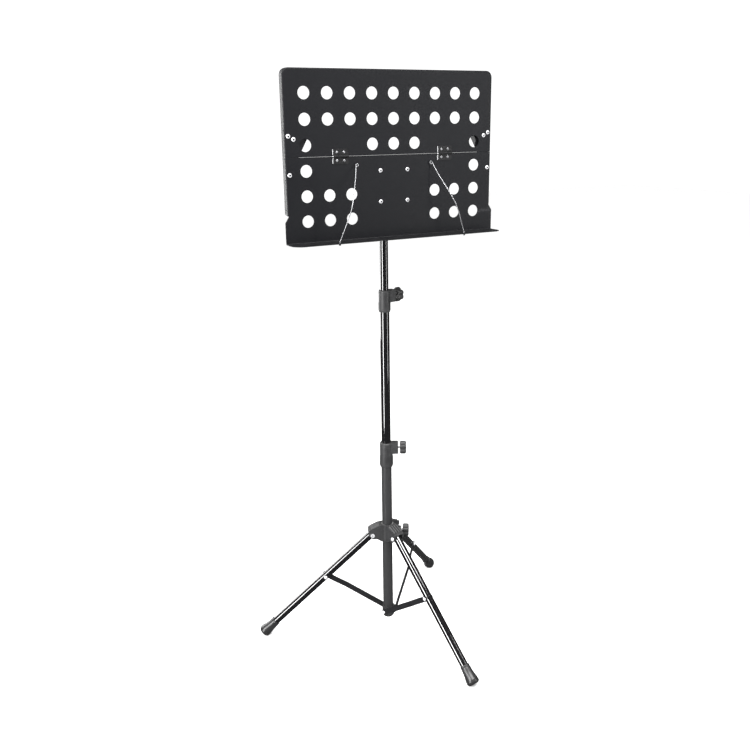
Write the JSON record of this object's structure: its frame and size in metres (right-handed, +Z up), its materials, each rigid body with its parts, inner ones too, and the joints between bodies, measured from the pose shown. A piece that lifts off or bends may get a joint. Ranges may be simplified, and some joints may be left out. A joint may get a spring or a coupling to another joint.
{
  "type": "music stand",
  "caption": "Folding orchestra music stand with a perforated two-leaf desk and tray, page-holder wires, a telescoping mast with clamp knobs and a folding tripod.",
  "frame": {"origin": "on the floor under the middle of the outline of the opened stand, with the desk upright", "axes": "+Z up along the mast; the page side of the desk and its tray face -Y; +X to the right of a player who reads the pages"},
  "size_m": [0.5584, 0.534, 1.332],
  "materials": {
    "gloss_black": "gloss",
    "satin_black": "satin",
    "black_plastic": "satin",
    "grey_plastic": "satin",
    "powder_coat": "matte",
    "black_steel": "satin",
    "bright_steel": "gloss",
    "foot_rubber": "matte"
  },
  "bodies": {
    "mast": {"lower_tube": "satin_black", "end_plug": "black_plastic", "spreader_collar": "black_plastic", "lower_collar": "black_plastic"},
    "lower_knob": {"lower_clamp_knob": "black_plastic", "lower_clamp_screw": "bright_steel"},
    "middle": {"middle_tube": "gloss_black", "upper_collar": "black_plastic"},
    "upper_knob": {"upper_clamp_knob": "black_plastic", "upper_clamp_screw": "bright_steel"},
    "bush": {"upper_bush": "black_plastic"},
    "upper": {"upper_tube": "gloss_black", "tilt_head": "black_plastic", "tilt_bolt": "bright_steel"},
    "head_knob": {"tilt_knob": "black_plastic"},
    "desk": {"lower_desk": "powder_coat", "tilt_bracket": "black_steel", "bracket_rivet_1": "bright_steel", "bracket_rivet_2": "bright_steel", "bracket_rivet_3": "bright_steel", "bracket_rivet_4": "bright_steel", "left_hinge_lower_leaf": "black_steel", "right_hinge_lower_leaf": "black_steel", "left_hinge_pin": "bright_steel", "right_hinge_pin": "bright_steel", "left_stay_stud": "bright_steel", "right_stay_stud": "bright_steel"},
    "upper_leaf": {"upper_desk": "powder_coat", "left_hinge_upper_leaf": "black_steel", "right_hinge_upper_leaf": "black_steel", "left_stay": "black_steel", "right_stay": "black_steel"},
    "left_wire": {"left_page_wire": "bright_steel", "left_wire_nut": "black_steel"},
    "right_wire": {"right_page_wire": "bright_steel", "right_wire_nut": "black_steel"},
    "hub_body": {"hub": "black_plastic", "hub_bush": "grey_plastic", "pivot_bolt_1": "bright_steel", "pivot_bolt_2": "bright_steel", "pivot_bolt_3": "bright_steel"},
    "hub_knob": {"hub_clamp_knob": "black_plastic", "hub_clamp_screw": "bright_steel"},
    "leg_body_1": {"leg_1": "gloss_black", "foot_1": "foot_rubber", "strut_rivet_1": "bright_steel"},
    "strut_body_1": {"strut_1": "black_steel", "spreader_rivet_1": "bright_steel"},
    "leg_body_2": {"leg_2": "gloss_black", "foot_2": "foot_rubber", "strut_rivet_2": "bright_steel"},
    "strut_body_2": {"strut_2": "black_steel", "spreader_rivet_2": "bright_steel"},
    "leg_body_3": {"leg_3": "gloss_black", "foot_3": "foot_rubber", "strut_rivet_3": "bright_steel"},
    "strut_body_3": {"strut_3": "black_steel", "spreader_rivet_3": "bright_steel"}
  },
  "joints": [
    {"name": "middle_slide", "type": "slide", "parent": "mast", "child": "middle", "axis": [0, 0, 1], "range_m": [-0.315, 0.03]},
    {"name": "lower_knob_turn", "type": "hinge", "parent": "mast", "child": "lower_knob", "pos_m": [0.02677, 0.05278, 0.4845], "axis": [0.8829, -0.4695, 0], "range_deg": [0, 360]},
    {"name": "upper_knob_turn", "type": "hinge", "parent": "middle", "child": "upper_knob", "pos_m": [0.02677, 0.05278, 0.8505], "axis": [0.9703, 0.2419, 0], "range_deg": [0, 360]},
    {"name": "desk_swivel", "type": "hinge", "parent": "middle", "child": "bush", "pos_m": [0.02677, 0.05278, 0.864], "axis": [0, 0, 1], "continuous": true},
    {"name": "upper_slide", "type": "slide", "parent": "bush", "child": "upper", "axis": [0, 0, 1], "range_m": [-0.17, 0.1]},
    {"name": "tilt_knob_turn", "type": "hinge", "parent": "upper", "child": "head_knob", "pos_m": [0.02677, 0.05278, 1.1], "axis": [1, 0, 0], "range_deg": [0, 360]},
    {"name": "desk_tilt", "type": "hinge", "parent": "upper", "child": "desk", "pos_m": [0.02677, 0.05278, 1.1], "axis": [-1, 0, 0], "range_deg": [0, 80]},
    {"name": "desk_fold", "type": "hinge", "parent": "desk", "child": "upper_leaf", "pos_m": [0.02677, -0.00182, 1.16268], "axis": [1, 0, 0], "range_deg": [0, 150]},
    {"name": "left_wire_swing", "type": "hinge", "parent": "desk", "child": "left_wire", "pos_m": [-0.12324, -0.04222, 0.992], "axis": [0, 0, 1], "range_deg": [-120, 0]},
    {"name": "right_wire_swing", "type": "hinge", "parent": "desk", "child": "right_wire", "pos_m": [0.17678, -0.04222, 0.992], "axis": [0, 0, -1], "range_deg": [-120, 0]},
    {"name": "hub_slide", "type": "slide", "parent": "mast", "child": "hub_body", "axis": [0, 0, 1], "range_m": [0, 0.12767]},
    {"name": "hub_knob_turn", "type": "hinge", "parent": "hub_body", "child": "hub_knob", "pos_m": [0.02677, 0.05278, 0.268], "axis": [0.8572, -0.515, 0], "range_deg": [0, 360]},
    {"name": "leg_1_fold", "type": "hinge", "parent": "hub_body", "child": "leg_body_1", "pos_m": [-0.00894, 0.06577, 0.26], "axis": [-0.342, -0.9397, 0], "range_deg": [0, 47.82]},
    {"name": "strut_1_fold", "type": "hinge", "parent": "leg_body_1", "child": "strut_body_1", "pos_m": [-0.12031, 0.10631, 0.15252], "axis": [-0.342, -0.9397, 0], "range_deg": [-91.71, 0]},
    {"name": "leg_2_fold", "type": "hinge", "parent": "hub_body", "child": "leg_body_2", "pos_m": [0.03337, 0.01535, 0.26], "axis": [0.9848, 0.1736, 0], "range_deg": [0, 47.82]},
    {"name": "strut_2_fold", "type": "hinge", "parent": "leg_body_2", "child": "strut_body_2", "pos_m": [0.05395, -0.10137, 0.15252], "axis": [0.9848, 0.1736, 0], "range_deg": [-91.71, 0]},
    {"name": "leg_3_fold", "type": "hinge", "parent": "hub_body", "child": "leg_body_3", "pos_m": [0.05588, 0.0772, 0.26], "axis": [-0.6428, 0.766, 0], "range_deg": [0, 47.82]},
    {"name": "strut_3_fold", "type": "hinge", "parent": "leg_body_3", "child": "strut_body_3", "pos_m": [0.14668, 0.15339, 0.15252], "axis": [-0.6428, 0.766, 0], "range_deg": [-91.71, 0]}
  ],
  "couplings": [
    {"joint": "leg_1_fold", "follows": "hub_slide", "rad_per_m": 6.5343},
    {"joint": "strut_1_fold", "follows": "hub_slide", "rad_per_m": -12.534},
    {"joint": "leg_2_fold", "follows": "hub_slide", "rad_per_m": 6.5343},
    {"joint": "strut_2_fold", "follows": "hub_slide", "rad_per_m": -12.534},
    {"joint": "leg_3_fold", "follows": "hub_slide", "rad_per_m": 6.5343},
    {"joint": "strut_3_fold", "follows": "hub_slide", "rad_per_m": -12.534}
  ]
}
